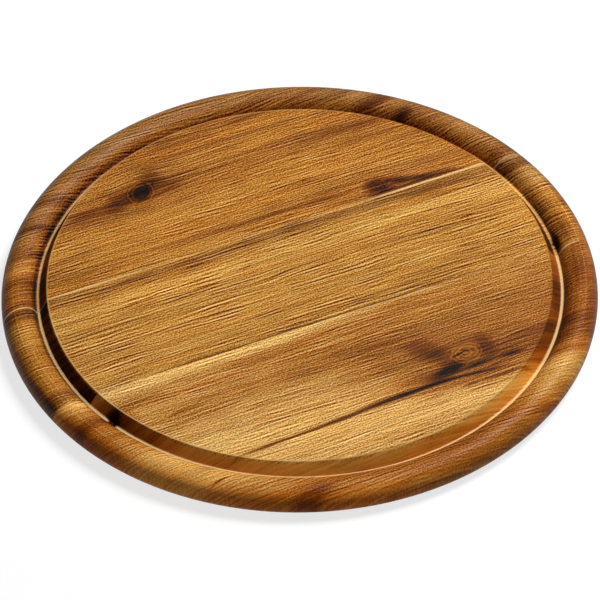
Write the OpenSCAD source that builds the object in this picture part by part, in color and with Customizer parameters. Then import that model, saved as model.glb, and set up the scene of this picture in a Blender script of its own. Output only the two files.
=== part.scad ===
// Round wooden serving board: three staves glued edge to edge, then turned as one blank.
// Millimetres. The origin is the middle of the underside, +Z is up and the grain runs along X.

/* [Board] */
// Overall diameter of the board
board_d = 320; // [280:1:360]
// Thickness from the underside to the serving face
board_t = 17; // [15:0.5:22]

/* [Staves] */
// Width of the middle stave between its two glue lines
middle_w = 75.4; // [50:0.1:100]
// Distance of the middle stave's own centre line from the centre of the board
middle_off = 3; // [-15:0.5:15]
// Thickness of the cured glue film between two staves
glue_t = 0.15; // [0.1:0.05:0.4]

/* [Groove] */
// Depth of the groove below the serving face
groove_deep = 7; // [5:0.5:9]
// Width of the flat groove floor
floor_w = 2; // [1.5:0.1:4]
// Run of the sloping wall from the edge of the serving face to the groove floor
wall_run = 4.2; // [2:0.1:7]
// Broken edge round the serving face
arris = 0.5; // [0.2:0.1:1]

/* [Rim] */
// Width of the rim from the groove floor to the outer edge
rim_w = 18.3; // [17:0.1:24]
// Distance of the rim's crown from the outer edge, also the radius of the outer shoulder
crown_in = 9; // [7:0.5:11]
// Height of the serving face above the rim's crown
crown_drop = 0.2; // [0:0.1:1.5]
// Straight land at the widest point of the edge
edge_land = 0.3; // [0.1:0.1:1]

/* [Hidden] */
$fn = 240;

// How far a cutting block runs past what it cuts
overrun = 5;

// Wood and glue tones
far_tone = [0.68, 0.45, 0.21];
middle_tone = [0.76, 0.55, 0.30];
near_tone = [0.60, 0.39, 0.19];
glue_tone = [0.86, 0.70, 0.44];

// Glue lines across the board, as distances from the centre along Y
board_r = board_d / 2;
far_line = middle_off + middle_w / 2;
near_line = middle_off - middle_w / 2;

// Radii of the turned section, from the outer edge inwards
crown_r = board_r - crown_in;
floor_out_r = board_r - rim_w;
floor_in_r = floor_out_r - floor_w;
face_r = floor_in_r - wall_run;

// Heights of the turned section
floor_z = board_t - groove_deep;
crown_z = board_t - crown_drop;
widest_z = crown_z - crown_in;

// Full round from the underside up to the land
under_r = widest_z - edge_land;

// Round from the crown down to the outer edge of the groove floor
crown_rise = crown_z - floor_z;
crown_reach = crown_r - floor_out_r;
inner_r = (crown_reach * crown_reach + crown_rise * crown_rise) / (2 * crown_rise);

// A quarter of a disc about a centre; side gives the signs of the quadrant that is kept
module quarter_disc(centre, radius, side) {
    reach = radius + overrun;
    translate(centre)
        intersection() {
            circle(radius);
            translate([min(side[0], 0) * reach, min(side[1], 0) * reach])
                square(reach);
        }
}

// Straight-sided part of the section, with its corners at the ends of the rounds
module section_core() {
    polygon([
        [0, 0],
        [board_r - under_r, 0],
        [board_r - under_r, under_r],
        [board_r, under_r],
        [board_r, widest_z],
        [crown_r, widest_z],
        [crown_r, floor_z],
        [floor_in_r, floor_z],
        [face_r + wall_run * arris / groove_deep, board_t - arris],
        [face_r - arris, board_t],
        [0, board_t]
    ]);
}

// Inner side of the rim, from the crown down to the groove floor
module rim_inner() {
    intersection() {
        quarter_disc([crown_r, crown_z - inner_r], inner_r, [-1, 1]);
        translate([floor_out_r - overrun, floor_z])
            square([crown_reach + overrun, crown_rise + overrun]);
    }
}

// Half section of the whole board, from the axis to the outer edge
module section() {
    section_core();
    rim_inner();
    quarter_disc([crown_r, widest_z], crown_in, [1, 1]);
    quarter_disc([board_r - under_r, under_r], under_r, [1, -1]);
}

// The glued-up blank after turning
module turned_blank() {
    rotate_extrude()
        section();
}

// Slice of the turned blank between two planes across the grain direction
module slice(from_y, to_y) {
    intersection() {
        turned_blank();
        translate([-board_r - overrun, from_y, -overrun])
            cube([board_d + 2 * overrun, to_y - from_y, board_t + 2 * overrun]);
    }
}

// Stave on the far side of the board
module far_stave() {
    color(far_tone)
        slice(far_line + glue_t / 2, board_r + overrun);
}

// Stave between the two glue lines
module middle_stave() {
    color(middle_tone)
        slice(near_line + glue_t / 2, far_line - glue_t / 2);
}

// Stave on the near side of the board
module near_stave() {
    color(near_tone)
        slice(-board_r - overrun, near_line - glue_t / 2);
}

// Glue film that fills the joint about one glue line
module glue_film(line_y) {
    color(glue_tone)
        slice(line_y - glue_t / 2, line_y + glue_t / 2);
}

module far_glue_line() {
    glue_film(far_line);
}

module near_glue_line() {
    glue_film(near_line);
}

far_stave();
middle_stave();
near_stave();
far_glue_line();
near_glue_line();
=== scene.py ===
"""Looks of a round wooden serving board, turned from three glued staves, laid out as a Blender add-on.

Lengths are in metres. In the wood materials places are in millimetres on the board, seen from above:
X runs along the grain and Y across the staves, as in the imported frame.
"""

import math
from typing import NamedTuple

import bpy
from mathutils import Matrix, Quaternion, Vector


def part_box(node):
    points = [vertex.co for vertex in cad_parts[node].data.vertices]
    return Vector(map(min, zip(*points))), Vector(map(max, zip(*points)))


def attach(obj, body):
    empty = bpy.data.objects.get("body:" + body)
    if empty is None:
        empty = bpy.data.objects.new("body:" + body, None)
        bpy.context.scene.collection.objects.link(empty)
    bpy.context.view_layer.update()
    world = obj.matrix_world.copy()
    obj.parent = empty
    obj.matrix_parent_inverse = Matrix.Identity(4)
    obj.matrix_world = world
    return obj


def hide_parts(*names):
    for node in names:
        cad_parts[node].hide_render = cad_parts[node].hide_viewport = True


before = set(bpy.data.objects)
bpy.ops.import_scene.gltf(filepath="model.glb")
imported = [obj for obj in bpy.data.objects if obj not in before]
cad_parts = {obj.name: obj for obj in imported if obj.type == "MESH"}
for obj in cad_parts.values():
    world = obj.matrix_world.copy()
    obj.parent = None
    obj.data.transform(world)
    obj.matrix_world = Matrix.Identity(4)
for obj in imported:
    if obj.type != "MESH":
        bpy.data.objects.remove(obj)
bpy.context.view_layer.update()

bl_info = {
    "name": "Round serving board",
    "version": (1, 0, 0),
    "blender": (4, 5, 0),
    "location": "3D View > Sidebar > Board",
    "description": "Turns a round wooden serving board from three glued staves",
    "category": "Add Mesh",
}

# Millimetres in a metre
MM = 1000

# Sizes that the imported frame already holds
STAVE_LOW, STAVE_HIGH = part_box("middle_stave")
FAR_FILM_LOW, FAR_FILM_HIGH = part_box("far_glue_line")
NEAR_FILM_LOW, NEAR_FILM_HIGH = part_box("near_glue_line")
BOARD_D = STAVE_HIGH.x - STAVE_LOW.x
BOARD_T = STAVE_HIGH.z

# How finely the blank is turned
TURN_STEPS = 360
ROUND_STEPS = 14
ARRIS_STEPS = 4
FLOOR_STEPS = 4
BLANK_START = 0.01
MERGE_GAP = 0.00001
CUT_GAP = 0.000001
SMOOTH_ANGLE = math.radians(28)


def tone(red, green, blue):
    """Colour in linear light from the 0 to 255 values that a screen shows."""
    shares = (red / 255, green / 255, blue / 255)
    return tuple(s / 12.92 if s <= 0.04045 else ((s + 0.055) / 1.055) ** 2.4 for s in shares)


def length_prop(name, description, default):
    """A size of the board, in metres."""
    return bpy.props.FloatProperty(
        name=name, description=description, default=default, min=0.0, precision=5, unit="LENGTH"
    )


def colour_prop(name, description, default):
    """A colour in linear light."""
    return bpy.props.FloatVectorProperty(
        name=name, description=description, default=default, size=3, min=0.0, max=1.0, subtype="COLOR"
    )


class BoardSizes(bpy.types.PropertyGroup):
    """Sizes of the turned section and of the staves."""

    board_d: length_prop("Diameter", "Overall diameter of the board", BOARD_D)
    board_t: length_prop("Thickness", "From the underside to the serving face", BOARD_T)
    groove_deep: length_prop("Groove depth", "Depth of the groove below the serving face", 0.007)
    floor_w: length_prop("Groove floor", "Width of the groove floor", 0.002)
    floor_dip: length_prop("Floor dip", "Hollow in the middle of the groove floor", 0.00015)
    wall_run: length_prop("Groove wall", "Run of the sloping wall inside the groove", 0.0042)
    arris: length_prop("Face edge", "Rounding of the edge of the serving face", 0.0005)
    rim_w: length_prop("Rim width", "From the groove floor to the outer edge", 0.0183)
    crown_in: length_prop("Crown", "Distance of the rim's crown from the outer edge", 0.009)
    crown_drop: length_prop("Crown drop", "Height of the serving face above the crown", 0.0002)
    edge_land: length_prop("Edge land", "Straight land at the widest point", 0.0003)


class BoardColours(bpy.types.PropertyGroup):
    """Colours of the staves, the knots, the glue and the stage."""

    far_light: colour_prop("Far stave, light", "Palest wood of the far stave", tone(215, 157, 68))
    far_body: colour_prop("Far stave, body", "Common tone of the far stave", tone(181, 119, 39))
    far_dark: colour_prop("Far stave, dark", "Darker bands of the far stave", tone(126, 68, 14))
    middle_light: colour_prop("Middle stave, light", "Palest wood of the middle stave", tone(221, 169, 83))
    middle_body: colour_prop("Middle stave, body", "Common tone of the middle stave", tone(181, 125, 46))
    middle_dark: colour_prop("Middle stave, dark", "Darker bands of the middle stave", tone(124, 74, 22))
    near_light: colour_prop("Near stave, light", "Sapwood of the near stave", tone(220, 174, 98))
    near_body: colour_prop("Near stave, body", "Common tone of the near stave", tone(179, 118, 41))
    near_dark: colour_prop("Near stave, dark", "Heartwood of the near stave", tone(128, 70, 16))
    heartwood: colour_prop("Heartwood", "Dark purple-brown of smudges and streaks", tone(86, 46, 14))
    knot_core: colour_prop("Knot core", "Darkest wood in the knots and streaks", tone(34, 17, 6))
    far_film: colour_prop("Far glue line", "Cured glue in the far joint", tone(214, 172, 112))
    near_film: colour_prop("Near glue line", "Cured glue in the near joint", tone(120, 78, 40))
    # Pale tone of the painted highlights in the groove and on the face edge, and of the pale marks at the
    # joints
    bare_and_highlight: colour_prop("Bare wood", "Pale wood in the bottom of the groove", tone(255, 220, 156))
    floor: colour_prop("Floor", "Plain pale floor", (0.3, 0.3, 0.3))


# The turned section

def arc(centre, radius, start, end, steps):
    """Points on a round about a centre, from one angle to another in degrees, both ends included."""
    angles = [math.radians(start + (end - start) * k / steps) for k in range(steps + 1)]
    return [(centre[0] + radius * math.cos(a), centre[1] + radius * math.sin(a)) for a in angles]


def turned_radii(sizes):
    """Radii in millimetres, outwards: the edge of the face, both sides of the groove floor, the crown of
    the rim and the outer edge.
    """
    board_r = sizes.board_d / 2
    floor_out_r = board_r - sizes.rim_w
    floor_in_r = floor_out_r - sizes.floor_w
    crown_r = board_r - sizes.crown_in
    radii = (floor_in_r - sizes.wall_run, floor_in_r, floor_out_r, crown_r, board_r)
    return tuple(MM * radius for radius in radii)


def half_section(sizes):
    """Radius and height of each point from the middle of the underside round to the middle of the face."""
    board_r = sizes.board_d / 2
    crown_r = board_r - sizes.crown_in
    floor_out_r = board_r - sizes.rim_w
    floor_in_r = floor_out_r - sizes.floor_w
    face_r = floor_in_r - sizes.wall_run
    floor_z = sizes.board_t - sizes.groove_deep
    crown_z = sizes.board_t - sizes.crown_drop
    widest_z = crown_z - sizes.crown_in
    under_r = widest_z - sizes.edge_land
    reach = crown_r - floor_out_r
    rise = crown_z - floor_z
    inner_r = (reach ** 2 + rise ** 2) / (2 * rise)
    inner_z = crown_z - inner_r

    points = [(0.0, 0.0)]
    points += arc((board_r - under_r, under_r), under_r, -90, 0, ROUND_STEPS)
    points += arc((crown_r, widest_z), sizes.crown_in, 0, 90, ROUND_STEPS)
    foot = math.degrees(math.atan2(floor_z - inner_z, -reach))
    points += arc((crown_r, inner_z), inner_r, 90, foot, ROUND_STEPS)[1:]
    for k in range(1, FLOOR_STEPS + 1):
        share = k / FLOOR_STEPS
        dip = sizes.floor_dip * 4 * share * (1 - share)
        points.append((floor_out_r - sizes.floor_w * share, floor_z - dip))
    wall = math.degrees(math.atan2(sizes.wall_run, sizes.groove_deep))
    edge_r = face_r - sizes.arris * math.tan(math.radians(45 - wall / 2))
    points += arc((edge_r, sizes.board_t - sizes.arris), sizes.arris, wall, 90, ARRIS_STEPS)
    points.append((0.0, sizes.board_t))
    return points


def turn_blank(name, points):
    """Draws the half section vertex by vertex, spins it round and leaves the blank open in edit mode."""
    bpy.ops.object.select_all(action="DESELECT")
    bpy.ops.mesh.primitive_plane_add(size=BLANK_START, location=(0, 0, 0))
    blank = bpy.context.object
    blank.name = name
    blank.data.name = name
    bpy.ops.object.mode_set(mode="EDIT")
    bpy.ops.mesh.select_all(action="SELECT")
    bpy.ops.mesh.merge(type="CENTER")
    for (r_from, z_from), (r_to, z_to) in zip(points, points[1:]):
        step = (r_to - r_from, 0, z_to - z_from)
        bpy.ops.mesh.extrude_region_move(TRANSFORM_OT_translate={"value": step})
    bpy.ops.mesh.select_all(action="SELECT")
    bpy.ops.mesh.spin(steps=TURN_STEPS, angle=2 * math.pi, center=(0, 0, 0), axis=(0, 0, 1))
    bpy.ops.mesh.select_all(action="SELECT")
    bpy.ops.mesh.remove_doubles(threshold=MERGE_GAP)
    bpy.ops.mesh.normals_make_consistent(inside=False)
    return blank


def saw_off(joint_y, keep_far):
    """Saws the open blank along a joint and closes the sawn face."""
    bpy.ops.mesh.select_all(action="SELECT")
    bpy.ops.mesh.bisect(
        plane_co=(0, joint_y, 0),
        plane_no=(0, 1, 0),
        use_fill=True,
        clear_inner=keep_far,
        clear_outer=not keep_far,
        threshold=CUT_GAP,
    )


def finish_piece(piece, material, node):
    """Closes edit mode, smooths the turned surfaces and hangs the piece on the frame for its node."""
    bpy.ops.mesh.select_all(action="SELECT")
    bpy.ops.mesh.normals_make_consistent(inside=False)
    bpy.ops.object.mode_set(mode="OBJECT")
    if not piece.data.polygons:
        raise RuntimeError(piece.name + " has no faces left")
    bpy.ops.object.shade_smooth_by_angle(angle=SMOOTH_ANGLE)
    piece.data.materials.clear()
    piece.data.materials.append(material)
    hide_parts(node)
    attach(piece, "root")


# The wood's figure

class Mark(NamedTuple):
    """A patch of darker or paler wood: an ellipse with its place and half sizes in millimetres, its tilt in
    degrees and its shift in lightness.
    """

    x: float
    y: float
    half_length: float
    half_width: float
    tilt: float
    shift: float


class Knot(NamedTuple):
    """A knot: its place, half sizes and tilt, then how its body, its core and its rings shift the lightness.

    The core's size is a share of the knot's, wobble makes its rings uneven and bend pulls the grain
    round it.
    """

    x: float
    y: float
    half_length: float
    half_width: float
    tilt: float
    body: float
    core: float
    core_size: float
    rings: float
    wobble: float
    bend: float


class Figure(NamedTuple):
    """One stave's figure.

    Growth bands run across it, on the right with other tones where right_bands has any. Marks follow the
    grain, still_marks keep their place at the joints, the knots and the rim, and pale_marks show pale raw
    wood. The wall of the groove is shifted in lightness, partly its own tone and partly painted shade in the
    groove. Floor is how strong the painted highlight on the groove's floor is on the left and on the right.
    Lines and speckle are the strengths of the long and the short grain, and start is the stave's place in
    the noise.
    """

    bands: tuple
    right_bands: tuple
    marks: tuple
    still_marks: tuple
    knots: tuple
    pale_marks: tuple
    wall: float
    floor: tuple
    lines: float
    speckle: float
    start: tuple


class Layer(NamedTuple):
    """A layer of noise: two or three cell sizes in millimetres, a seed, its detail and its weight."""

    cells: tuple
    seed: float
    detail: float
    weight: float = 1.0


class Finish(NamedTuple):
    """A surface's bump, as its strength and its height in metres, and its specular level."""

    bump_strength: float
    bump_height: float
    specular: float


FAR_FIGURE = Figure(
    bands=(
        (40, 0.62), (46, 0.58), (51, 0.52), (57, 0.57), (64, 0.62), (72, 0.66), (80, 0.62),
        (88, 0.56), (96, 0.51), (102, 0.50), (108, 0.59), (114, 0.53), (120, 0.56), (128, 0.47),
        (140, 0.52), (160, 0.5),
    ),
    right_bands=(),
    marks=(
        Mark(-45, 100, 42, 20, 0, -0.08),
        Mark(92, 78, 44, 24, 0, -0.08),
        Mark(75, 55, 65, 8, 0, -0.06),
        Mark(-86, 91, 24, 6, 4, -0.14),
        Mark(-82, 84, 22, 5, 0, -0.15),
        Mark(66, 100, 32, 7, 0, -0.08),
        Mark(104, 75, 22, 8, 0, -0.06),
        Mark(66, 44, 34, 4, 0, -0.06),
        Mark(-50, 90, 22, 4, 0, -0.05),
        Mark(40, 63, 44, 6, 0, -0.06),
        Mark(-48, 114, 26, 5, 0, -0.07),
        Mark(-22, 126, 20, 5, 0, -0.09),
        Mark(60, 43, 40, 2.5, 0, -0.08),
        Mark(-70, 54, 50, 9, 0, 0.05),
        Mark(-45, 46, 80, 4, 0, 0.07),
        Mark(20, 120, 40, 3, 0, 0.05),
        Mark(-60, 87, 16, 5, 0, -0.08),
        Mark(-38, 99, 14, 6, 0, -0.10),
        Mark(70, 99, 45, 6, 0, -0.06),
        Mark(-100, 67, 16, 5, 0, -0.07),
        Mark(0, 118, 60, 1.2, -1, -0.16),
        Mark(10, 116, 50, 0.9, -2, -0.14),
        Mark(-10, 52, 70, 2.2, -2, -0.18),
        Mark(-60, 112, 18, 6, 8, 0.06),
        Mark(-110, 47, 20, 6, 0, -0.05),
    ),
    still_marks=(
        Mark(-65, 95, 12, 7, 22, -0.31),
        Mark(-83, 93.5, 14, 5, 4, -0.14),
        Mark(-42, 106, 9, 9, 30, -0.25),
        Mark(92, 42.9, 34, 1.2, 0, -0.36),
        Mark(87, 46.8, 14, 3.4, -13, -0.34),
        Mark(79, 49, 7, 4, -22, -0.2),
        Mark(104, 44.5, 16, 2.4, -4, -0.30),
        Mark(76, 48.5, 3.5, 1.4, 30, 0.14),
        Mark(-99, 112, 16, 6, 0, -0.14),
        Mark(-110, 102, 14, 2.5, 0, 0.10),
        Mark(-115, 96, 14, 3, 0, -0.22),
        Mark(-121, 89, 13, 3.5, 0, 0.12),
        Mark(-127, 80, 15, 6, 0, -0.18),
        Mark(-134, 68, 14, 2.5, 0, 0.12),
        Mark(-138, 60, 14, 4, 0, -0.20),
        Mark(-146, 43.5, 14, 2.2, 0, -0.20),
        Mark(142, 46, 14, 5, 0, -0.16),
        # Painted light on the rim's inner side in the groove at the right, which faces away from the lamp
        Mark(131, 54, 4, 14, 22, 0.2),
        Mark(106, 98, 8, 4.5, 10, -0.30),
        Mark(97, 114, 22, 6, 10, -0.22),
        Mark(93, 123, 18, 3.5, 10, 0.10),
        Mark(62, 135, 20, 0.9, 0, -0.22),
    ),
    knots=(
        Knot(
            x=-51.4, y=97.2, half_length=8, half_width=10, tilt=-38, body=-0.17,
            core=-0.42, core_size=0.68, rings=0.13, wobble=0.3, bend=0.5,
        ),
        Knot(
            x=68.5, y=48.2, half_length=8.2, half_width=6.8, tilt=0, body=-0.42,
            core=0.0, core_size=0.3, rings=0.05, wobble=0.5, bend=0.2,
        ),
    ),
    pale_marks=(
        Mark(-105, 41.0, 40, 0.45, 0, 0.7),
        Mark(-20, 41.0, 70, 0.4, 0, 0.2),
        Mark(100, 41.0, 55, 0.6, 0, 0.8),
        Mark(-150, 41.0, 20, 0.6, 0, 0.6),
    ),
    wall=-0.22,
    floor=(0.38, 0.5),
    lines=0.7,
    speckle=1.1,
    start=(3.1, 7.7, 1.3),
)

MIDDLE_FIGURE = Figure(
    bands=(
        (-35, 0.60), (-30, 0.60), (-24, 0.63), (-18, 0.64), (-10, 0.66), (0, 0.66), (6, 0.62),
        (12, 0.64), (18, 0.70), (24, 0.73), (29, 0.64), (34, 0.50), (38, 0.49), (41, 0.58),
    ),
    right_bands=(),
    marks=(
        Mark(-82, 36, 14, 3, 0, -0.16),
        Mark(-52, 37, 10, 2.5, 0, -0.12),
        Mark(12, 38, 14, 2, 0, -0.12),
        Mark(100, 34, 26, 4, 0, -0.10),
        Mark(-20, 36, 110, 4, 0, -0.05),
        Mark(80, 0, 50, 26, 0, -0.04),
        Mark(88, 36, 50, 4.5, 0, -0.10),
        Mark(85, 29, 50, 4, 0, -0.05),
        Mark(80, 6, 50, 5, 0, -0.05),
        Mark(-118, 0, 20, 6, 0, 0.07),
        Mark(0, 36.5, 32, 3, 0, 0.08),
        Mark(104, 36, 18, 3, 0, 0.08),
        Mark(-122, 36, 14, 3, 0, 0.07),
        Mark(-70, 12, 26, 4, 0, 0.08),
        Mark(-120, -32, 16, 5, 0, 0.07),
        Mark(-78, 25, 40, 6, 0, 0.05),
        Mark(38, -27, 34, 5, 0, -0.06),
        Mark(88, -24, 50, 9, 0, -0.07),
        Mark(-95, -26, 44, 14, 0, 0.05),
        Mark(-58, -12.5, 14, 1.0, 0, -0.14),
        Mark(-30, -16.5, 16, 1.0, 3, -0.14),
        Mark(-98, -26, 20, 1.0, 2, -0.14),
        Mark(102, -19, 6, 1.2, 0, 0.16),
        Mark(70, -20, 11, 1.0, 0, 0.12),
        Mark(92, -32, 8, 1.0, 0, 0.14),
        Mark(-23, 20, 1.8, 0.9, 0, -0.5),
    ),
    still_marks=(
        Mark(-10, -34.1, 110, 0.65, 0, -0.42),
        Mark(158, 2, 5, 45, 0, -0.16),
        Mark(-150, -28, 14, 6, 0, -0.14),
        Mark(-150, 36, 14, 5, 0, -0.10),
        Mark(139.6, -27, 2.4, 9, -11, -0.56),
        # Painted light on the rim's inner side in the groove at the right, which faces away from the lamp
        Mark(139.5, 20, 3.5, 18, 8, 0.2),
        Mark(147.5, -21, 5, 16, -8, -0.18),
        Mark(-157.5, -22, 3, 22, 8, -0.2),
        Mark(148, -3, 14, 3, 0, -0.08),
        Mark(146, 33, 14, 5, 0, -0.16),
    ),
    knots=(),
    pale_marks=(
        Mark(-100, 40.4, 40, 0.35, 0, 0.5),
        Mark(100, 40.4, 45, 0.4, 0, 0.6),
    ),
    wall=-0.34,
    floor=(0.75, 0.3),
    lines=1.1,
    speckle=1.05,
    start=(11.3, 2.9, 5.1),
)

NEAR_FIGURE = Figure(
    bands=(
        (-160, 0.6), (-140, 0.66), (-128, 0.76), (-120, 0.85), (-112, 0.88), (-104, 0.88),
        (-96, 0.87), (-90, 0.81), (-84, 0.76), (-78, 0.71), (-72, 0.66), (-66, 0.60), (-60, 0.62),
        (-54, 0.63), (-48, 0.64), (-44, 0.70), (-41, 0.80), (-38, 0.90), (-35, 0.90),
    ),
    right_bands=(
        (-160, 0.5), (-140, 0.56), (-128, 0.74), (-120, 0.86), (-112, 0.77), (-106, 0.50),
        (-100, 0.42), (-90, 0.42), (-82, 0.43), (-74, 0.48), (-66, 0.48), (-60, 0.49), (-52, 0.54),
        (-44, 0.57), (-35, 0.62),
    ),
    marks=(
        Mark(-95, -65.5, 13, 1.1, 0, -0.28),
        Mark(-78, -62, 20, 1.1, 3, -0.18),
        Mark(-20, -60, 34, 11, 3, -0.11),
        Mark(-24, -43.5, 42, 5, 3, -0.19),
        Mark(-93, -58, 30, 7, 0, 0.11),
        Mark(-118, -48, 16, 5, 0, -0.09),
        Mark(0, -66, 52, 6, 0, -0.07),
        Mark(-12, -80, 34, 12, -8, -0.07),
        Mark(70, -113, 18, 3, 0, -0.12),
        Mark(72, -92, 42, 13, 0, -0.09),
    ),
    still_marks=(
        Mark(-60, -35.6, 90, 0.8, 0, 0.12),
        Mark(-85, -37, 44, 2.2, 0, 0.12),
        Mark(-62, -106.8, 24, 1.4, 2, -0.66),
        Mark(-27, -105.3, 28, 1.9, 3, -0.74),
        Mark(8, -102.8, 27, 2.5, 1.5, -0.70),
        Mark(14, -108.5, 22, 3.5, 4, 0.13),
        Mark(60, -114.5, 16, 3.5, 0, -0.08),
        Mark(38, -102.3, 20, 1.6, -1, -0.36),
        Mark(60, -104.2, 16, 1.2, -5, -0.34),
        Mark(41, -97, 15, 5.2, 16, -0.34),
        Mark(59, -97.6, 12, 1.6, 6, -0.3),
        Mark(46, -93.5, 8, 6, -40, -0.13),
        Mark(53, -87.2, 4.4, 0.9, 14, -0.46),
        Mark(56.8, -86, 3.2, 0.8, -24, -0.40),
        Mark(55.5, -89, 2.8, 0.7, 5, -0.30),
        Mark(79, -98, 9, 1.8, 2, -0.3),
        Mark(66, -109.6, 20, 1.5, 0, -0.46),
        Mark(49, -109.8, 6, 1, 0, -0.36),
        Mark(40, -80, 17, 8.5, -45, -0.2),
        Mark(20, -72, 32, 16, -20, -0.05),
        Mark(68.5, -87, 6, 10, 0, -0.22),
        Mark(-129.8, -51.5, 5.6, 6, 25, -0.46),
        Mark(-125.5, -57.5, 10, 6, -30, -0.16),
        Mark(-143, -54, 16, 5, 0, -0.26),
        Mark(-150, -39, 16, 5, 0, 0.14),
        Mark(-59, -146, 16, 5.5, 4, -0.32),
        Mark(-98, -118.8, 7, 0.8, 5, -0.45),
        Mark(112, -88, 12, 12, 0, -0.10),
        Mark(123.2, -62.8, 19, 5, 63, -0.2),
        Mark(-58, -124.6, 20, 3, -25, 0.13),
        Mark(142.5, -48, 5.5, 24, -19, -0.2),
        Mark(118, -102, 16, 6, 0, 0.12),
        # Painted fill light on the outer edge at the lower left
        Mark(-122, -103, 24, 26, 0, 0.08),
    ),
    knots=(
        Knot(
            x=57, y=-88, half_length=10, half_width=7.6, tilt=10, body=0.07,
            core=0.0, core_size=0.3, rings=0.12, wobble=0.34, bend=0.45,
        ),
    ),
    pale_marks=(
        Mark(143, -35.4, 8, 0.7, 0, 0.6),
        Mark(50, -35.4, 90, 0.6, 0, 0.2),
    ),
    wall=0.04,
    floor=(1.0, 0.7),
    lines=0.62,
    speckle=1.05,
    start=(17.9, 13.3, 9.7),
)

# In the values below two numbers are the start and the end of a smooth change. Two more, where there are
# four, are what it changes from and to, and a third is how soft both sides of a zone are.

# How far the grain strays sideways, and how far a mark's ends fray along it, in millimetres
WANDER = Layer((90, 22, 22), 0.0, 1, 6.0)
WAVER = Layer((20, 6, 6), 5.3, 1, 0.7)
FRAY = Layer((60, 1.1), 9.1, 2, 20.0)
STILL_FRAY = 2.5

# How far the grain leans with each millimetre of depth, and how fast its bend round a knot dies away
GRAIN_LEAN = -0.45
BEND_FALL = 0.35

# Layers that shift the lightness
STREAKS = Layer((70, 2.6), 2.1, 1, 0.36)
MOTTLE = Layer((18, 9), 6.1, 1, 0.16)
FIBRES = Layer((30, 1.25), 3.7, 0, 0.46)
HAIRS = Layer((10, 1.0), 12.7, 0, 0.36)
PEBBLE = Layer((1.2, 1.0), 8.3, 1, 0.3)
SANDING = Layer((0.85, 0.85), 15.1, 0, 0.42)
LATHE_LINES = Layer((30, 0.6), 14.3, 0, 0.1)

# Layers that only place something
LONG_PORES = Layer((70, 2.4), 4.9, 0)
SHORT_PORES = Layer((36, 1.6), 1.9, 0)
PORE_GROUPS = Layer((60, 8), 7.3, 1)
KNOT_WOBBLE = Layer((5, 2.2), 11.9, 1)
WARMTH = Layer((110, 8), 10.7, 2)

# How far to each side, in cells, fibres and pebble are compared with their neighbours
RIDGE_STEP = 0.75

# Pores: noise levels where a line starts and is full, the same for groups of lines, and their shift
PORE_LINE = (0.045, 0.01)
PORE_GROUP = (-0.1, 0.15)
PORE_SHIFT = -0.08
LINES_LEFT_BETWEEN_GROUPS = 0.4

# Where the bands of the right side take over along X, and where a mark fades, in shares of its half sizes
RIGHT_CHANGE = (-25, 45)
MARK_FADE = (1.2, 0.2)

# Knots: radians that the rings turn through over a half size, and the shares of it where each part fades
KNOT_RINGS = 24.0
RING_FADE = (1.2, 0.85)
BODY_FADE = (1.4, 0.4)
CORE_FADE = (1.2, 0.5)

# Zones of the turned section: steps in millimetres from its radii, and how soft their sides are
TURNED_START = -0.5
WALL_TOP = 0.6
WALL_FOOT = 0.1
WALL_SOFT = 0.4
FACE_EDGE = (-0.8, 0.4)
FACE_EDGE_SOFT = 0.6
OUTER_EDGE = (2, 8)

# Heights between which the upper side of the board begins
UPPER_SIDE = (6.5, 8.5)

# What is taken off the texture on turned surfaces, on the groove wall and on the edge of the face
TURNED_CALM = -0.25
WALL_CALM = -0.85
FACE_EDGE_CALM = -0.75

# What is left of the texture on dark wood, in the knots and on the outer edge
DARK_TEXTURE = (0.2, 0.5, 0.4, 1.0)
KNOT_TEXTURE = (0.7, 1.3, 0.3, 1.0)
OUTER_TEXTURE = 0.5

# Pale rings along the crown at both ends, part lathe line and part painted highlight: steps from the crown,
# shifts
LATHE_AND_HIGHLIGHT_RINGS = ((2.4, 0.18), (-0.5, 0.1))
LATHE_AND_HIGHLIGHT_HALF = 0.2
LATHE_AND_HIGHLIGHT_SOFT = 0.3
BOARD_ENDS = (115, 145)

# End grain shows where the surface faces along the grain
END_GRAIN_POWER = 1.5
END_GRAIN_SHIFT = -0.28

# Painted highlight on the groove bottom, cut a little off the middle of the board, and painted shade at the
# rim's foot
CUT_CENTRE = (0.33, -0.23, 0.0)
BOTTOM_IN = 0.1
BOTTOM_OUT = -0.35
BOTTOM_SOFT = 0.35
FOOT_START = (-0.5, -0.1)
FOOT_END = (2.5, 0.0)
# Painted shade at the foot of the rim, deepest on the left and turning to a slight painted light on the
# right
FOOT_SHADE = (-140, 140, -0.34, 0.05)

# Painted shade on the rim's inner side on the near side
SLOPE_CROWN = (4, -3)
SLOPE_FOOT = (-0.4, 0.0)
SLOPE_NEAR = (-40, -100)
SLOPE_MIDDLE = (-60, 80, 40)
SLOPE_AT_ENDS = 0.3
SLOPE_SHADE = -0.17

# Lightness of the palette's tones from the core of a knot to the palest wood, and how pale that is
TONE_STEPS = (0.0, 0.14, 0.32, 0.58, 0.84, 1.0)
PALEST = 1.25

# Tints that multiply the wood's red, green, blue and alpha, and where each of them sets in
RED_TINT = (1.03, 0.93, 0.80, 1.0)
RED_RANGE = (-0.2, 0.2)
TURNED_TINT = (0.95, 0.77, 0.54, 1.0)
TURNED_TINT_RANGE = (60, 150, 0.6, 0.3)
FAR_RIM_TINT = (0.86, 1.02, 2.3, 1.0)
FAR_EDGE_TINT = (0.76, 0.87, 1.0, 1.0)
FAR_RANGE = (25, 80)
FAR_LEAN = 0.2
FAR_RIM_TOP = -1
FAR_EDGE = (0, 4)
# Painted fill light: the outer edge at the lower left is made lighter and warmer
PAINTED_FILL_TINT = (1.5, 1.2, 0.85, 1.0)
OUTSIDE_START = 1
OUTSIDE_RANGE = (-140, -200)
WALL_TINT = (1.12, 0.92, 0.55, 1.0)

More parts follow.
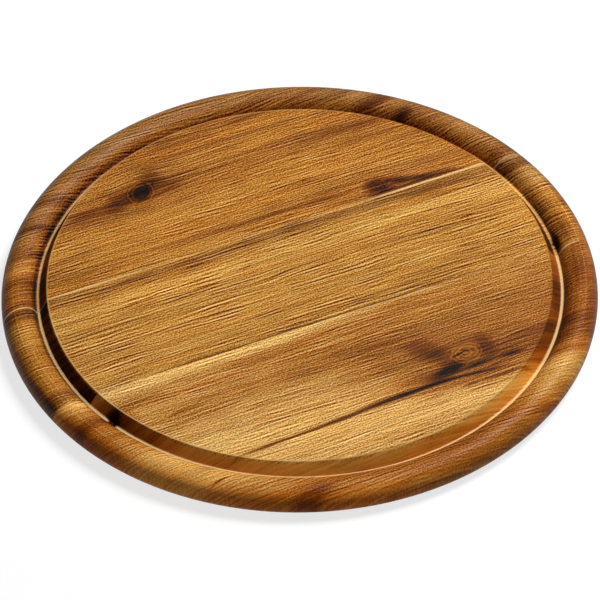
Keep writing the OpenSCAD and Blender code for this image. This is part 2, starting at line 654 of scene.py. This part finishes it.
# The texture cuts deeper than it stands out: its square is taken off, and a small lift put back
SCREEN_GAMMA = 2.2
TEXTURE_LIFT = 0.003
TEXTURE_CUT = -0.9

# Painted highlight on the edge of the face and in the bottom of the groove, and the lightness it needs
EDGE_HIGHLIGHT = (-0.75, 0.1)
EDGE_HIGHLIGHT_SOFT = 0.3
EDGE_HIGHLIGHT_SIDE = (-40, 100, 0.0, 0.4)
HIGHLIGHT_SIDES = (-100, 100)
BARE_LIGHT = (0.08, 0.28)

# Satin finish of the wood: roughness, what adds to it, and the heights of pores and fibres
WOOD_ROUGH = 0.6
PEBBLE_ROUGH = 0.3
PORE_ROUGH = 0.12
TURNED_ROUGH = -0.15
PORE_HEIGHT = -0.5
FIBRE_HEIGHT = 0.6
WOOD_FINISH = Finish(0.02, 0.0003, 0.1)

# Cured glue: clouds and specks, each with a place in the noise, and how far they shift its tone
GLUE_CLOUD = Layer((9, 2, 3), 0.0, 3, 1.2)
GLUE_CLOUD_START = (1.7, 4.1, 2.3)
GLUE_SPECK = Layer((1.5, 0.6, 0.6), 0.0, 2, 0.5)
GLUE_SPECK_START = (6.1, 0.7, 3.9)
GLUE_MIDDLE = 0.5
GLUE_DARKER = 0.6
GLUE_PALER = 1.2
GLUE_ROUGH = 0.5
SPECK_ROUGH = 0.3
GLUE_FINISH = Finish(0.2, 0.0001, 0.5)

# The noise node's middle value, and the mix node's sockets for colours
NOISE_MIDDLE = 0.5
BLEND_INPUTS = (0, 6, 7)
BLEND_OUTPUT = 2


def beyond(radius, steps):
    """Radii a few steps out from a radius, or in from it where a step is negative."""
    return tuple(radius + step for step in steps)


class MaterialBench:
    """Adds shader nodes to one material and hands back their output sockets."""

    def __init__(self, name):
        old = bpy.data.materials.get(name)
        if old:
            bpy.data.materials.remove(old)
        self.material = bpy.data.materials.new(name)
        self.material.use_nodes = True
        self.tree = self.material.node_tree
        self.tree.nodes.clear()

    def add(self, kind, **settings):
        """A new node with its settings."""
        node = self.tree.nodes.new(kind)
        for key, value in settings.items():
            setattr(node, key, value)
        return node

    def feed(self, socket, value):
        """Links a socket to another, or sets its value."""
        if isinstance(value, bpy.types.NodeSocket):
            self.tree.links.new(value, socket)
        else:
            socket.default_value = value

    def math(self, operation, *values, clamp=False):
        """Result of a sum on numbers."""
        node = self.add("ShaderNodeMath", operation=operation, use_clamp=clamp)
        for socket, value in zip(node.inputs, values):
            self.feed(socket, value)
        return node.outputs["Value"]

    def plus(self, first, factor, second=1.0):
        """The first value plus the product of the other two."""
        return self.math("MULTIPLY_ADD", factor, second, first)

    def vector(self, operation, *values):
        """Result of a sum on vectors."""
        node = self.add("ShaderNodeVectorMath", operation=operation)
        for socket, value in zip(node.inputs, values):
            self.feed(socket, value)
        return node.outputs["Value" if operation in ("LENGTH", "DOT_PRODUCT") else "Vector"]

    def split(self, vector):
        """The three numbers of a vector."""
        node = self.add("ShaderNodeSeparateXYZ")
        self.feed(node.inputs["Vector"], vector)
        return node.outputs["X"], node.outputs["Y"], node.outputs["Z"]

    def join(self, x, y, z):
        """A vector of three numbers."""
        node = self.add("ShaderNodeCombineXYZ")
        for socket, value in zip(node.inputs, (x, y, z)):
            self.feed(socket, value)
        return node.outputs["Vector"]

    def about(self, point, spot):
        """The point as seen from a mark or a knot, turned to its tilt and with its half sizes as units."""
        node = self.add("ShaderNodeMapping", vector_type="TEXTURE")
        self.feed(node.inputs["Vector"], point)
        node.inputs["Location"].default_value = (spot.x, spot.y, 0)
        node.inputs["Rotation"].default_value = (0, 0, math.radians(spot.tilt))
        node.inputs["Scale"].default_value = (spot.half_length, spot.half_width, 1)
        return node.outputs["Vector"]

    def ease(self, value, start, end, low=0.0, high=1.0):
        """Goes smoothly from low at start to high at end."""
        node = self.add("ShaderNodeMapRange", interpolation_type="SMOOTHSTEP")
        for socket, setting in zip(node.inputs, (value, start, end, low, high)):
            self.feed(socket, setting)
        return node.outputs["Result"]

    def between(self, value, low, high, soft):
        """One between two limits and nothing outside, with soft sides."""
        rise = self.ease(value, low - soft, low + soft)
        return self.math("MULTIPLY", rise, self.ease(value, high + soft, high - soft))

    def noise(self, point, layer, start):
        """Noise about zero, in two or three directions as the layer has cells."""
        scale = tuple(1 / size for size in layer.cells) + (0.0,) * (3 - len(layer.cells))
        offset = tuple(value + layer.seed for value in start)
        node = self.add("ShaderNodeTexNoise", noise_dimensions="%dD" % len(layer.cells))
        self.feed(node.inputs["Vector"], self.vector("MULTIPLY_ADD", point, scale, offset))
        node.inputs["Scale"].default_value = 1.0
        node.inputs["Detail"].default_value = layer.detail
        return self.math("SUBTRACT", node.outputs["Fac"], NOISE_MIDDLE)

    def ridges(self, point, layer, start):
        """Noise less the mean of the same noise a step to either side: fine lines with no broad patches."""
        ridge = self.noise(point, layer, start)
        steps = (-RIDGE_STEP, RIDGE_STEP)
        for step in steps:
            beside = self.noise(point, layer, (start[0], start[1] + step, start[2]))
            ridge = self.plus(ridge, beside, -1 / len(steps))
        return ridge

    def pore_lines(self, grain, layer, start):
        """Thin dark lines along the grain, where a noise crosses zero."""
        contour = self.math("ABSOLUTE", self.noise(grain, layer, start))
        return self.ease(contour, *PORE_LINE)

    def ramp(self, factor, stops, interpolation="EASE"):
        """Colour at a share of the way along the stops."""
        node = self.add("ShaderNodeValToRGB")
        band = node.color_ramp
        band.interpolation = interpolation
        while len(band.elements) < len(stops):
            band.elements.new(1.0)
        for element, (position, colour) in zip(band.elements, stops):
            element.position = position
            element.color = (*colour, 1.0)
        self.feed(node.inputs["Fac"], factor)
        return node.outputs["Color"]

    def curve_across(self, y, bands):
        """Lightness of the growth bands at a distance across the board."""
        low, high = bands[0][0], bands[-1][0]
        share = self.math("DIVIDE", self.math("SUBTRACT", y, low), high - low)
        stops = [((at - low) / (high - low), (value, value, value)) for at, value in bands]
        return self.ramp(share, stops)

    def gamma(self, colour, power):
        """The colour with each channel raised to a power."""
        node = self.add("ShaderNodeGamma")
        self.feed(node.inputs["Color"], colour)
        node.inputs["Gamma"].default_value = power
        return node.outputs["Color"]

    def shaded(self, colour, amount):
        """The colour made paler or darker by one amount in all three channels, as a screen shows them."""
        shown = self.vector("ADD", self.gamma(colour, 1 / SCREEN_GAMMA), self.join(amount, amount, amount))
        return self.gamma(self.vector("MAXIMUM", shown, (0.0, 0.0, 0.0)), SCREEN_GAMMA)

    def blend(self, factor, first, second, mode="MIX"):
        """Two colours blended; the node's colour sockets come after those for numbers and vectors."""
        node = self.add("ShaderNodeMix", data_type="RGBA", blend_type=mode)
        for index, value in zip(BLEND_INPUTS, (factor, first, second)):
            self.feed(node.inputs[index], value)
        return node.outputs[BLEND_OUTPUT]

    def surface(self, colour, roughness, height, finish):
        """Wires a surface with a slight bump to the material's output."""
        bump = self.add("ShaderNodeBump")
        bump.inputs["Strength"].default_value = finish.bump_strength
        bump.inputs["Distance"].default_value = finish.bump_height
        self.feed(bump.inputs["Height"], height)
        shader = self.add("ShaderNodeBsdfPrincipled")
        self.feed(shader.inputs["Base Color"], colour)
        self.feed(shader.inputs["Roughness"], roughness)
        self.feed(shader.inputs["Normal"], bump.outputs["Normal"])
        shader.inputs["Specular IOR Level"].default_value = finish.specular
        output = self.add("ShaderNodeOutputMaterial")
        self.feed(output.inputs["Surface"], shader.outputs["BSDF"])


class OiledWood(MaterialBench):
    """Oiled wood in solid form: the figure runs right through one stave.

    A lightness from 0 to 1 is worked out first. It picks the colour, which is then tinted and shaded.
    """

    def __init__(self, name, palette, figure, sizes):
        super().__init__(name)
        self.palette = palette
        self.figure = figure
        self.start = figure.start
        self.face_r, self.floor_in_r, self.floor_out_r, self.crown_r, self.board_r = turned_radii(sizes)
        coords = self.add("ShaderNodeTexCoord")
        self.normal = coords.outputs["Normal"]
        self.point = self.vector("MULTIPLY", coords.outputs["Object"], (MM, MM, MM))
        self.x, self.y, self.z = self.split(self.point)
        self.depth = self.math("SUBTRACT", sizes.board_t * MM, self.z)
        self.flat = self.join(self.x, self.y, 0.0)
        self.lay_grain()
        self.band_and_mark()
        self.add_texture()
        self.thin_texture()
        self.add_lathe_lines_and_highlights()
        self.add_knots()
        self.shade_turned()
        wood = self.shade_texture(self.tinted())
        self.oil(self.with_highlight_and_bare(wood))

    def lay_grain(self):
        """Grain that wanders a little and flows round the knots."""
        across = self.plus(self.y, self.noise(self.point, WANDER, self.start), WANDER.weight)
        across = self.plus(across, self.noise(self.point, WAVER, self.start), WAVER.weight)
        across = self.plus(across, self.depth, GRAIN_LEAN)
        self.knot_reach = []
        for knot in self.figure.knots:
            local = self.about(self.flat, knot)
            nearness = self.math("MULTIPLY", self.vector("DOT_PRODUCT", local, local), -BEND_FALL)
            pull = self.math("MULTIPLY", self.math("SUBTRACT", self.y, knot.y), -knot.bend)
            across = self.plus(across, pull, self.math("EXPONENT", nearness))
            self.knot_reach.append(self.vector("LENGTH", local))
        self.across = across
        self.grain = self.join(self.x, across, self.z)

    def band_and_mark(self):
        """Growth bands across the stave, with marks on them."""
        figure = self.figure
        light = self.curve_across(self.across, figure.bands)
        if figure.right_bands:
            right = self.curve_across(self.across, figure.right_bands)
            light = self.plus(light, self.math("SUBTRACT", right, light), self.ease(self.x, *RIGHT_CHANGE))
        frayed = self.plus(self.x, self.noise(self.grain, FRAY, self.start), FRAY.weight)
        frayed = self.join(frayed, self.across, 0.0)
        still_y = self.plus(self.y, self.noise(self.point, WAVER, self.start), WAVER.weight)
        still = self.plus(self.x, self.noise(self.grain, FRAY, self.start), STILL_FRAY)
        still = self.join(still, still_y, 0.0)
        # The marks are summed by themselves, so that the shader has few values to hold at a time
        marked = 0.0
        for coordinates, marks in ((frayed, figure.marks), (still, figure.still_marks)):
            for mark in marks:
                reach = self.vector("LENGTH", self.about(coordinates, mark))
                marked = self.math("ADD", marked, self.ease(reach, *MARK_FADE, 0.0, mark.shift))
        self.light = self.math("ADD", light, marked)

    def add_texture(self):
        """Streaks and mottle in the lightness, and the texture of fibres, pore lines and sanded wood."""
        grain, start = self.grain, self.start
        self.fibres = self.ridges(grain, FIBRES, start)
        mottle = self.noise(grain, MOTTLE, start)
        self.pebble = self.ridges(grain, PEBBLE, start)
        groups = self.ease(self.noise(grain, PORE_GROUPS, start), *PORE_GROUP)
        long_pores = self.pore_lines(grain, LONG_PORES, start)
        short_pores = self.pore_lines(grain, SHORT_PORES, start)
        self.pores = self.math("MULTIPLY", self.math("MAXIMUM", long_pores, short_pores), groups)
        self.radius = self.vector("LENGTH", self.flat)
        self.turned = self.ease(self.radius, self.face_r + TURNED_START, self.floor_out_r)
        self.calm = self.plus(1.0, self.turned, TURNED_CALM)
        streaks = self.math("MULTIPLY", self.noise(grain, STREAKS, start), self.calm)
        light = self.plus(self.light, streaks, STREAKS.weight)
        self.light = self.plus(light, mottle, MOTTLE.weight)
        lines = self.plus(self.math("MULTIPLY", self.fibres, FIBRES.weight), self.pores, PORE_SHIFT)
        lines = self.math("MULTIPLY", lines, self.plus(LINES_LEFT_BETWEEN_GROUPS, groups))
        speckle = self.math("MULTIPLY", self.pebble, PEBBLE.weight)
        speckle = self.plus(speckle, self.ridges(grain, HAIRS, start), HAIRS.weight)
        speckle = self.plus(speckle, self.noise(self.flat, SANDING, start), SANDING.weight)
        lines = self.math("MULTIPLY", lines, self.figure.lines)
        self.texture = self.plus(lines, speckle, self.figure.speckle)

    def thin_texture(self):
        """Share of the texture that shows: less on dark wood, turned surfaces, edges and knots."""
        fine = self.math("MULTIPLY", self.calm, self.ease(self.light, *DARK_TEXTURE))
        self.wall = self.between(self.radius, self.face_r + WALL_TOP, self.floor_in_r + WALL_FOOT, WALL_SOFT)
        fine = self.math("MULTIPLY", fine, self.plus(1.0, self.wall, WALL_CALM))
        face_edge = self.between(self.radius, *beyond(self.face_r, FACE_EDGE), FACE_EDGE_SOFT)
        fine = self.math("MULTIPLY", fine, self.plus(1.0, face_edge, FACE_EDGE_CALM))
        outer = self.ease(self.radius, *beyond(self.crown_r, OUTER_EDGE), 1.0, OUTER_TEXTURE)
        fine = self.math("MULTIPLY", fine, outer)
        for reach in self.knot_reach:
            fine = self.math("MULTIPLY", fine, self.ease(reach, *KNOT_TEXTURE))
        self.fine = fine

    def add_lathe_lines_and_highlights(self):
        """Faint lathe lines on the turned surfaces, and pale rings along the crown at both ends of the
        board, part lathe line and part painted highlight.
        """
        lathe_lines = self.noise(self.join(self.x, self.radius, 0.0), LATHE_LINES, self.start)
        lathe_lines = self.math("MULTIPLY", lathe_lines, self.turned)
        self.light = self.plus(self.light, lathe_lines, LATHE_LINES.weight)
        ends = self.ease(self.math("ABSOLUTE", self.x), *BOARD_ENDS)
        for step, shift in LATHE_AND_HIGHLIGHT_RINGS:
            ring_r = beyond(self.crown_r + step, (-LATHE_AND_HIGHLIGHT_HALF, LATHE_AND_HIGHLIGHT_HALF))
            ring = self.between(self.radius, *ring_r, LATHE_AND_HIGHLIGHT_SOFT)
            self.light = self.plus(self.light, self.math("MULTIPLY", ring, ends), shift)

    def add_knots(self):
        """Knots: rings about a core."""
        for knot, reach in zip(self.figure.knots, self.knot_reach):
            uneven = self.plus(reach, self.noise(self.flat, KNOT_WOBBLE, self.start), knot.wobble)
            rings = self.math("SINE", self.math("MULTIPLY", uneven, KNOT_RINGS))
            light = self.plus(self.light, rings, self.ease(uneven, *RING_FADE, 0.0, knot.rings))
            light = self.math("ADD", light, self.ease(uneven, *BODY_FADE, 0.0, knot.body))
            core_fade = [knot.core_size * share for share in CORE_FADE]
            self.light = self.math("ADD", light, self.ease(uneven, *core_fade, 0.0, knot.core))

    def shade_turned(self):
        """Dark end grain, the groove wall's tone with painted shade, and painted shade at the rim's foot and
        on the near part of its inner side.
        """
        self.upper = self.ease(self.z, *UPPER_SIDE)
        along_grain = self.split(self.normal)[0]
        end_grain = self.math("POWER", self.math("ABSOLUTE", along_grain), END_GRAIN_POWER)
        light = self.plus(self.light, end_grain, END_GRAIN_SHIFT)
        # The groove wall's tone: partly its own and partly painted shade in the groove
        light = self.plus(light, self.math("MULTIPLY", self.wall, self.upper), self.figure.wall)
        self.cut_r = self.vector("LENGTH", self.vector("SUBTRACT", self.flat, CUT_CENTRE))
        # Painted shade at the foot of the rim beside the groove bottom
        foot = self.ease(self.cut_r, *beyond(self.floor_out_r, FOOT_START))
        foot = self.math("MULTIPLY", foot, self.ease(self.radius, *beyond(self.floor_out_r, FOOT_END)))
        foot = self.math("MULTIPLY", foot, self.upper)
        light = self.plus(light, foot, self.ease(self.x, *FOOT_SHADE))
        # Painted shade on the near part of the rim's inner side
        slope = self.ease(self.radius, *beyond(self.crown_r, SLOPE_CROWN))
        slope = self.math("MULTIPLY", slope, self.ease(self.radius, *beyond(self.floor_out_r, SLOPE_FOOT)))
        slope = self.math("MULTIPLY", slope, self.ease(self.y, *SLOPE_NEAR))
        middle = self.plus(SLOPE_AT_ENDS, self.between(self.x, *SLOPE_MIDDLE), 1 - SLOPE_AT_ENDS)
        slope = self.math("MULTIPLY", slope, middle)
        light = self.plus(light, self.math("MULTIPLY", slope, self.upper), SLOPE_SHADE)
        self.light = self.math("ADD", light, 0.0, clamp=True)

    def tinted(self):
        """Colour of the wood for its lightness, tinted from place to place, with painted fill light on the
        lower left outer edge.
        """
        tones = [self.palette[key] for key in ("core", "heart", "dark", "body", "light")]
        tones.append(tuple(min(1.0, channel * PALEST) for channel in self.palette["light"]))
        wood = self.ramp(self.light, tuple(zip(TONE_STEPS, tones)), "LINEAR")
        redder = self.ease(self.noise(self.grain, WARMTH, self.start), *RED_RANGE)
        wood = self.blend(redder, wood, RED_TINT, "MULTIPLY")
        turned = self.math("MULTIPLY", self.turned, self.ease(self.y, *TURNED_TINT_RANGE))
        wood = self.blend(turned, wood, TURNED_TINT, "MULTIPLY")
        far_side = self.ease(self.plus(self.y, self.x, FAR_LEAN), *FAR_RANGE)
        far_rim = self.ease(self.radius, self.floor_out_r, self.crown_r + FAR_RIM_TOP)
        wood = self.blend(self.math("MULTIPLY", far_side, far_rim), wood, FAR_RIM_TINT, "MULTIPLY")
        far_edge = self.ease(self.radius, *beyond(self.crown_r, FAR_EDGE))
        wood = self.blend(self.math("MULTIPLY", far_side, far_edge), wood, FAR_EDGE_TINT, "MULTIPLY")
        # Painted fill light on the outer edge at the lower left
        outside = self.ease(self.radius, self.crown_r + OUTSIDE_START, self.board_r)
        left = self.ease(self.plus(self.x, self.y), *OUTSIDE_RANGE)
        wood = self.blend(self.math("MULTIPLY", outside, left), wood, PAINTED_FILL_TINT, "MULTIPLY")
        return self.blend(self.math("MULTIPLY", self.wall, self.upper), wood, WALL_TINT, "MULTIPLY")

    def shade_texture(self, wood):
        """The wood's colour with the fine texture on it."""
        shade = self.math("MULTIPLY", self.texture, self.fine)
        lifted = self.plus(TEXTURE_LIFT, shade)
        return self.shaded(wood, self.plus(lifted, self.math("MULTIPLY", shade, shade), TEXTURE_CUT))

    def with_highlight_and_bare(self, wood):
        """Painted highlight in the bottom of the groove and along the edge of the face, more towards the far
        left, and pale marks, all in one pale tone.
        """
        inner_r, outer_r = self.floor_in_r + BOTTOM_IN, self.floor_out_r + BOTTOM_OUT
        # Painted highlight in the bottom of the groove and along the edge of the face
        bottom = self.between(self.cut_r, inner_r, outer_r, BOTTOM_SOFT)
        edge = self.between(self.radius, *beyond(self.face_r, EDGE_HIGHLIGHT), EDGE_HIGHLIGHT_SOFT)
        highlit_side = self.ease(self.math("SUBTRACT", self.y, self.x), *EDGE_HIGHLIGHT_SIDE)
        bare_and_highlight = self.math("MAXIMUM", bottom, self.math("MULTIPLY", edge, highlit_side))
        sides = self.ease(self.x, *HIGHLIGHT_SIDES, *self.figure.floor)
        bare_and_highlight = self.math("MULTIPLY", bare_and_highlight, self.math("MULTIPLY", self.upper, sides))
        bare_and_highlight = self.math("MULTIPLY", bare_and_highlight, self.ease(self.light, *BARE_LIGHT))
        for mark in self.figure.pale_marks:
            reach = self.vector("LENGTH", self.about(self.flat, mark))
            bare_and_highlight = self.math("MAXIMUM", bare_and_highlight, self.ease(reach, *MARK_FADE, 0.0, mark.shift))
        return self.blend(bare_and_highlight, wood, (*self.palette["bare_and_highlight"], 1.0))

    def oil(self, wood):
        """Satin finish: pores are duller, turned surfaces are smoother."""
        rough = self.plus(self.plus(WOOD_ROUGH, self.pebble, PEBBLE_ROUGH), self.pores, PORE_ROUGH)
        rough = self.plus(rough, self.turned, TURNED_ROUGH)
        height = self.plus(self.math("MULTIPLY", self.pores, PORE_HEIGHT), self.fibres, FIBRE_HEIGHT)
        self.surface(wood, rough, height, WOOD_FINISH)


def cured_glue(name, colour):
    """Cured wood glue: a little cloudy along the joint, with a dull skin."""
    bench = MaterialBench(name)
    coords = bench.add("ShaderNodeTexCoord")
    point = bench.vector("MULTIPLY", coords.outputs["Object"], (MM, MM, MM))
    cloud = bench.noise(point, GLUE_CLOUD, GLUE_CLOUD_START)
    speck = bench.noise(point, GLUE_SPECK, GLUE_SPECK_START)
    light = bench.plus(GLUE_MIDDLE, cloud, GLUE_CLOUD.weight)
    light = bench.plus(light, speck, GLUE_SPECK.weight)
    darker = tuple(channel * GLUE_DARKER for channel in colour)
    paler = tuple(min(1.0, channel * GLUE_PALER) for channel in colour)
    shade = bench.ramp(light, ((0.0, darker), (GLUE_MIDDLE, colour), (1.0, paler)))
    rough = bench.plus(GLUE_ROUGH, speck, SPECK_ROUGH)
    bench.surface(shade, rough, speck, GLUE_FINISH)
    return bench.material


def palette_of(colours, stave):
    """The three tones of a stave, and the dark tones and the pale tone of painted highlights and pale marks
    that all staves share.
    """
    return {
        "light": tuple(getattr(colours, stave + "_light")),
        "body": tuple(getattr(colours, stave + "_body")),
        "dark": tuple(getattr(colours, stave + "_dark")),
        "heart": tuple(colours.heartwood),
        "core": tuple(colours.knot_core),
        "bare_and_highlight": tuple(colours.bare_and_highlight),
    }


# Operators

class BOARD_OT_far_stave(bpy.types.Operator):
    """Turn the blank and saw off the stave on the far side"""

    bl_idname = "serving_board.far_stave"
    bl_label = "Far stave"
    bl_options = {"REGISTER", "UNDO"}

    def execute(self, context):
        sizes, colours = context.scene.board_sizes, context.scene.board_colours
        piece = turn_blank("far_stave_wood", half_section(sizes))
        saw_off(FAR_FILM_HIGH.y, True)
        wood = OiledWood("far_stave_wood", palette_of(colours, "far"), FAR_FIGURE, sizes)
        finish_piece(piece, wood.material, "far_stave")
        return {"FINISHED"}


class BOARD_OT_middle_stave(bpy.types.Operator):
    """Turn the blank and saw out the stave between the two joints"""

    bl_idname = "serving_board.middle_stave"
    bl_label = "Middle stave"
    bl_options = {"REGISTER", "UNDO"}

    def execute(self, context):
        sizes, colours = context.scene.board_sizes, context.scene.board_colours
        piece = turn_blank("middle_stave_wood", half_section(sizes))
        saw_off(FAR_FILM_LOW.y, False)
        saw_off(NEAR_FILM_HIGH.y, True)
        wood = OiledWood("middle_stave_wood", palette_of(colours, "middle"), MIDDLE_FIGURE, sizes)
        finish_piece(piece, wood.material, "middle_stave")
        return {"FINISHED"}


class BOARD_OT_near_stave(bpy.types.Operator):
    """Turn the blank and saw off the stave on the near side"""

    bl_idname = "serving_board.near_stave"
    bl_label = "Near stave"
    bl_options = {"REGISTER", "UNDO"}

    def execute(self, context):
        sizes, colours = context.scene.board_sizes, context.scene.board_colours
        piece = turn_blank("near_stave_wood", half_section(sizes))
        saw_off(NEAR_FILM_LOW.y, False)
        wood = OiledWood("near_stave_wood", palette_of(colours, "near"), NEAR_FIGURE, sizes)
        finish_piece(piece, wood.material, "near_stave")
        return {"FINISHED"}


class BOARD_OT_glue_lines(bpy.types.Operator):
    """Saw the two thin glue films out of the turned blank"""

    bl_idname = "serving_board.glue_lines"
    bl_label = "Glue lines"
    bl_options = {"REGISTER", "UNDO"}

    def execute(self, context):
        sizes, colours = context.scene.board_sizes, context.scene.board_colours
        joints = (
            ("far_glue_film", "far_glue_line", FAR_FILM_LOW.y, FAR_FILM_HIGH.y, colours.far_film),
            ("near_glue_film", "near_glue_line", NEAR_FILM_LOW.y, NEAR_FILM_HIGH.y, colours.near_film),
        )
        for name, node, low_y, high_y, colour in joints:
            piece = turn_blank(name, half_section(sizes))
            saw_off(high_y, False)
            saw_off(low_y, True)
            finish_piece(piece, cured_glue(name, tuple(colour)), node)
        return {"FINISHED"}


# The stage

# The camera's place, from the middle of the serving face, and what it aims at
CAMERA_DISTANCE = 2.503
CAMERA_TURN = math.radians(23.569)
CAMERA_RISE = math.radians(44.023)
CAMERA_ROLL = math.radians(-0.671)
CAMERA_LENS = 280.5
AIM_HEIGHT = 0.0008
AIM_RIGHT = 0.00018
CAMERA_REACH = 100.0

# The floor: its side, the glow that makes it white, and the radius of the spot that the underside hides
FLOOR_SIZE = 60.0
FLOOR_GLOW = 0.75
COVERED_R = 0.1525

# The soft key light: its direction from the board, its distance, side and power
KEY_RIGHT = 0.416
KEY_AHEAD = 0.277
KEY_UP = 0.866
KEY_DISTANCE = 2.2
KEY_SIZE = 0.8
KEY_POWER = 52

# Heights on the unit sky, and the light level overhead
HORIZON_TOP = 0.03
CEILING_START = 0.08
CEILING_LEVEL = 0.05


def camera_axes():
    """Directions from the board back to the camera and to the camera's right."""
    ground = math.cos(CAMERA_RISE)
    back = Vector((-math.sin(CAMERA_TURN) * ground, -math.cos(CAMERA_TURN) * ground, math.sin(CAMERA_RISE)))
    right = Vector((math.cos(CAMERA_TURN), -math.sin(CAMERA_TURN), 0))
    return back, right


def floor_material(colour):
    """Pale floor that is white to the camera and in reflections, and still takes a shadow."""
    bench = MaterialBench("studio_floor")
    path = bench.add("ShaderNodeLightPath")
    seen = bench.math("MAXIMUM", path.outputs["Is Camera Ray"], path.outputs["Is Glossy Ray"])
    seen = bench.math("MAXIMUM", seen, path.outputs["Is Transmission Ray"])
    paper = bench.add("ShaderNodeBsdfDiffuse")
    paper.inputs["Color"].default_value = (*colour, 1.0)
    glow = bench.add("ShaderNodeEmission")
    bench.feed(glow.inputs["Strength"], bench.math("MULTIPLY", seen, FLOOR_GLOW))
    both = bench.add("ShaderNodeAddShader")
    bench.feed(both.inputs[0], paper.outputs["BSDF"])
    bench.feed(both.inputs[1], glow.outputs["Emission"])
    # Seen from below the floor is clear, and so is the spot that the board covers, to show the underside
    side = bench.add("ShaderNodeNewGeometry")
    covered = bench.math("LESS_THAN", bench.vector("LENGTH", side.outputs["Position"]), COVERED_R)
    clear = bench.add("ShaderNodeBsdfTransparent")
    sided = bench.add("ShaderNodeMixShader")
    bench.feed(sided.inputs[0], bench.math("MAXIMUM", side.outputs["Backfacing"], covered))
    bench.feed(sided.inputs[1], both.outputs["Shader"])
    bench.feed(sided.inputs[2], clear.outputs["BSDF"])
    output = bench.add("ShaderNodeOutputMaterial")
    bench.feed(output.inputs["Surface"], sided.outputs["Shader"])
    return bench.material


def studio_world():
    """Studio surroundings: pale along the horizon and dim overhead."""
    world = bpy.data.worlds.new("studio")
    bpy.context.scene.world = world
    world.use_nodes = True
    tree = world.node_tree
    coords = tree.nodes.new("ShaderNodeTexCoord")
    direction = tree.nodes.new("ShaderNodeSeparateXYZ")
    level = tree.nodes.new("ShaderNodeMapRange")
    level.interpolation_type = "SMOOTHSTEP"
    level.inputs["From Min"].default_value = HORIZON_TOP
    level.inputs["From Max"].default_value = CEILING_START
    level.inputs["To Min"].default_value = 1.0
    level.inputs["To Max"].default_value = CEILING_LEVEL
    tree.links.new(coords.outputs["Generated"], direction.inputs["Vector"])
    tree.links.new(direction.outputs["Z"], level.inputs["Value"])
    background = tree.nodes["Background"]
    background.inputs["Color"].default_value = (1, 1, 1, 1)
    tree.links.new(level.outputs["Result"], background.inputs["Strength"])


def soft_light(name, direction, distance, size, power):
    """Large square lamp that faces the board from a direction."""
    place = direction.normalized() * distance
    bpy.ops.object.light_add(type="AREA", location=place)
    lamp = bpy.context.object
    lamp.name = name
    lamp.data.size = size
    lamp.data.energy = power
    lamp.rotation_mode = "QUATERNION"
    lamp.rotation_quaternion = place.to_track_quat("Z", "Y")


class BOARD_OT_stage(bpy.types.Operator):
    """Add the floor, the light and the camera"""

    bl_idname = "serving_board.stage"
    bl_label = "Stage"
    bl_options = {"REGISTER", "UNDO"}

    def execute(self, context):
        colours = context.scene.board_colours
        bpy.ops.object.select_all(action="DESELECT")
        bpy.ops.mesh.primitive_plane_add(size=FLOOR_SIZE, location=(0, 0, 0))
        floor = context.object
        floor.name = "studio_floor"
        floor.data.materials.append(floor_material(tuple(colours.floor)))
        studio_world()

        back, right = camera_axes()
        ahead = Vector((math.sin(CAMERA_TURN), math.cos(CAMERA_TURN), 0))
        up = Vector((0, 0, 1))
        key_way = right * KEY_RIGHT + ahead * KEY_AHEAD + up * KEY_UP
        soft_light("key_light", key_way, KEY_DISTANCE, KEY_SIZE, KEY_POWER)

        face = Vector((0, 0, context.scene.board_sizes.board_t))
        place = face + back * CAMERA_DISTANCE
        aim = Vector((0, 0, AIM_HEIGHT)) + right * AIM_RIGHT
        look = (aim - place).to_track_quat("-Z", "Y") @ Quaternion((0, 0, 1), CAMERA_ROLL)
        bpy.ops.object.camera_add(location=place)
        camera = context.object
        camera.rotation_mode = "QUATERNION"
        camera.rotation_quaternion = look
        camera.data.lens = CAMERA_LENS
        camera.data.clip_end = CAMERA_REACH
        context.scene.camera = camera
        context.scene.view_settings.view_transform = "Standard"
        return {"FINISHED"}


class BOARD_PT_sidebar(bpy.types.Panel):
    """Lists the board's operators, sizes and colours"""

    bl_idname = "BOARD_PT_sidebar"
    bl_label = "Serving board"
    bl_space_type = "VIEW_3D"
    bl_region_type = "UI"
    bl_category = "Board"

    def draw(self, context):
        for operator in OPERATORS:
            self.layout.operator(operator.bl_idname)
        for group in (context.scene.board_sizes, context.scene.board_colours):
            box = self.layout.box()
            for key in group.bl_rna.properties.keys():
                if key not in ("rna_type", "name"):
                    box.prop(group, key)


OPERATORS = (
    BOARD_OT_far_stave,
    BOARD_OT_middle_stave,
    BOARD_OT_near_stave,
    BOARD_OT_glue_lines,
    BOARD_OT_stage,
)
CLASSES = (BoardSizes, BoardColours, *OPERATORS, BOARD_PT_sidebar)


def register():
    for cls in CLASSES:
        bpy.utils.register_class(cls)
    bpy.types.Scene.board_sizes = bpy.props.PointerProperty(type=BoardSizes)
    bpy.types.Scene.board_colours = bpy.props.PointerProperty(type=BoardColours)


def unregister():
    del bpy.types.Scene.board_colours
    del bpy.types.Scene.board_sizes
    for cls in reversed(CLASSES):
        bpy.utils.unregister_class(cls)


def main():
    register()
    bpy.ops.serving_board.far_stave()
    bpy.ops.serving_board.middle_stave()
    bpy.ops.serving_board.near_stave()
    bpy.ops.serving_board.glue_lines()
    bpy.ops.serving_board.stage()


if __name__ == "__main__":
    main()
